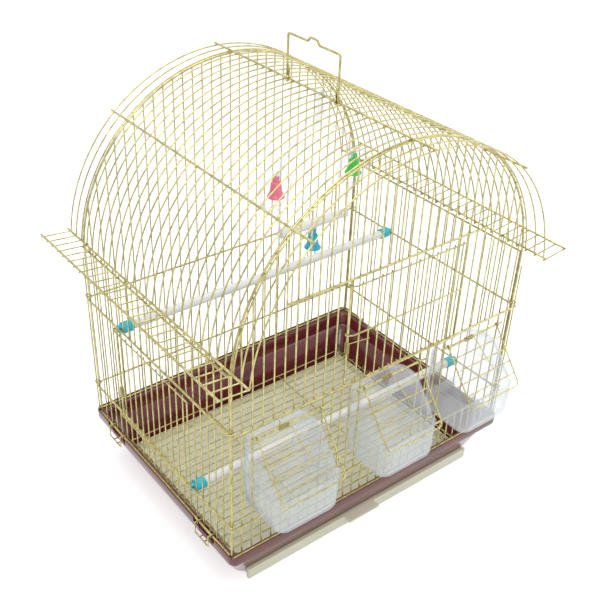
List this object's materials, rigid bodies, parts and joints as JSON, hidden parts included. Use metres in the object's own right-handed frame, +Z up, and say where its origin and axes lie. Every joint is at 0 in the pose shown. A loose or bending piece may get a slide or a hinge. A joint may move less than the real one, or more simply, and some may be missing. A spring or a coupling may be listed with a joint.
{
  "type": "bird cage",
  "caption": "Round-top wire bird cage with feeder flaps, clear cups, two sprung doors, perches, a swing with bells and a base with a slide-out drawer.",
  "frame": {"origin": "centre of the base's underside", "axes": "+X along the front wall to the right, -Y out of the front, +Z up"},
  "size_m": [0.448, 0.3588, 0.5176],
  "materials": {
    "gold_wire": "glossy gold lacquer",
    "spring_steel": "plated spring wire",
    "burgundy_plastic": "glossy moulded",
    "cream_plastic": "satin moulded",
    "clear_plastic": "clear moulded",
    "white_plastic": "satin moulded",
    "translucent_plastic": "milky moulded",
    "cyan_plastic": "glossy moulded",
    "pink_plastic": "glossy moulded",
    "green_plastic": "glossy moulded",
    "blue_plastic": "glossy moulded"
  },
  "bodies": {
    "cage": {"base_tray": "burgundy_plastic", "floor_grate": "gold_wire", "front_panel": "gold_wire", "front_arch": "gold_wire", "back_panel": "gold_wire", "back_arch": "gold_wire", "left_panel": "gold_wire", "right_panel": "gold_wire", "roof_panel": "gold_wire", "ridge_rod": "gold_wire", "corner_clips": "gold_wire", "roof_clips": "gold_wire", "upper_perch": "white_plastic", "upper_perch_caps": "cyan_plastic", "lower_perch": "white_plastic", "lower_perch_caps": "cyan_plastic", "front_door_hinge": "gold_wire", "side_door_hinge": "gold_wire", "hinge_springs": "spring_steel", "flap_hinge_rod_1": "gold_wire", "feeder_cup_1": "clear_plastic", "flap_hinge_rod_2": "gold_wire", "feeder_cup_2": "clear_plastic", "flap_hinge_rod_3": "gold_wire", "feeder_cup_3": "clear_plastic"},
    "drawer": {"slide_out_drawer": "cream_plastic"},
    "handle": {"carry_handle": "gold_wire"},
    "front_door": {"front_door": "gold_wire"},
    "side_door": {"side_door": "gold_wire"},
    "swing": {"swing_frame": "translucent_plastic", "swing_bar": "white_plastic"},
    "flap_1": {"feeder_flap_1": "gold_wire"},
    "flap_2": {"feeder_flap_2": "gold_wire"},
    "flap_3": {"feeder_flap_3": "gold_wire"},
    "pink_bell": {"pink_bell": "pink_plastic"},
    "green_bell": {"green_bell": "green_plastic"},
    "blue_bell": {"blue_bell": "blue_plastic"},
    "latch_front_left": {"latch_front_left": "gold_wire"},
    "latch_back_left": {"latch_back_left": "gold_wire"},
    "latch_front_right": {"latch_front_right": "gold_wire"},
    "latch_back_right": {"latch_back_right": "gold_wire"}
  },
  "joints": [
    {"name": "drawer_slide", "type": "slide", "parent": "cage", "child": "drawer", "axis": [0, -1, 0], "range_m": [0, 0.24]},
    {"name": "handle_hinge", "type": "hinge", "parent": "cage", "child": "handle", "pos_m": [0, 0, 0.46705], "axis": [0, 1, 0], "range_deg": [-80, 80]},
    {"name": "front_door_hinge", "type": "hinge", "parent": "cage", "child": "front_door", "pos_m": [-0.05987, -0.143, 0.284], "axis": [0, 0, -1], "range_deg": [0, 110], "stiffness_Nm_per_rad": 0.02, "springref_deg": -34.38, "deforming": ["hinge_springs"]},
    {"name": "side_door_hinge", "type": "hinge", "parent": "cage", "child": "side_door", "pos_m": [-0.192, 0.07448, 0.162], "axis": [0, 0, -1], "range_deg": [0, 110], "stiffness_Nm_per_rad": 0.02, "springref_deg": -34.38, "deforming": ["hinge_springs"]},
    {"name": "flap_1_hinge", "type": "hinge", "parent": "cage", "child": "flap_1", "pos_m": [-0.12574, -0.143, 0.208], "axis": [-1, 0, 0], "range_deg": [0, 95], "stiffness_Nm_per_rad": 0.01, "springref_deg": -34.38, "deforming": ["hinge_springs"]},
    {"name": "flap_2_hinge", "type": "hinge", "parent": "cage", "child": "flap_2", "pos_m": [0.00599, -0.143, 0.208], "axis": [-1, 0, 0], "range_deg": [0, 95], "stiffness_Nm_per_rad": 0.01, "springref_deg": -34.38, "deforming": ["hinge_springs"]},
    {"name": "flap_3_hinge", "type": "hinge", "parent": "cage", "child": "flap_3", "pos_m": [0.12574, -0.143, 0.208], "axis": [-1, 0, 0], "range_deg": [0, 95], "stiffness_Nm_per_rad": 0.01, "springref_deg": -34.38, "deforming": ["hinge_springs"]},
    {"name": "swing_hinge", "type": "hinge", "parent": "cage", "child": "swing", "pos_m": [0, -0.01242, 0.46705], "axis": [0, 1, 0], "range_deg": [-20, 20]},
    {"name": "pink_bell_hinge", "type": "hinge", "parent": "swing", "child": "pink_bell", "pos_m": [-0.05, -0.01242, 0.39255], "axis": [0, 1, 0], "range_deg": [-20, 20]},
    {"name": "green_bell_hinge", "type": "hinge", "parent": "swing", "child": "green_bell", "pos_m": [0.05, -0.01242, 0.39255], "axis": [0, 1, 0], "range_deg": [-20, 20]},
    {"name": "blue_bell_hinge", "type": "hinge", "parent": "swing", "child": "blue_bell", "pos_m": [0, -0.01242, 0.31905], "axis": [0, 1, 0], "range_deg": [-20, 20]},
    {"name": "latch_front_left_hinge", "type": "hinge", "parent": "cage", "child": "latch_front_left", "pos_m": [-0.192, -0.0931, 0.0632], "axis": [0, 1, 0], "range_deg": [0, 100]},
    {"name": "latch_back_left_hinge", "type": "hinge", "parent": "cage", "child": "latch_back_left", "pos_m": [-0.192, 0.0931, 0.0632], "axis": [0, 1, 0], "range_deg": [0, 100]},
    {"name": "latch_front_right_hinge", "type": "hinge", "parent": "cage", "child": "latch_front_right", "pos_m": [0.192, -0.0931, 0.0632], "axis": [0, -1, 0], "range_deg": [0, 100]},
    {"name": "latch_back_right_hinge", "type": "hinge", "parent": "cage", "child": "latch_back_right", "pos_m": [0.192, 0.0931, 0.0632], "axis": [0, -1, 0], "range_deg": [0, 100]}
  ]
}
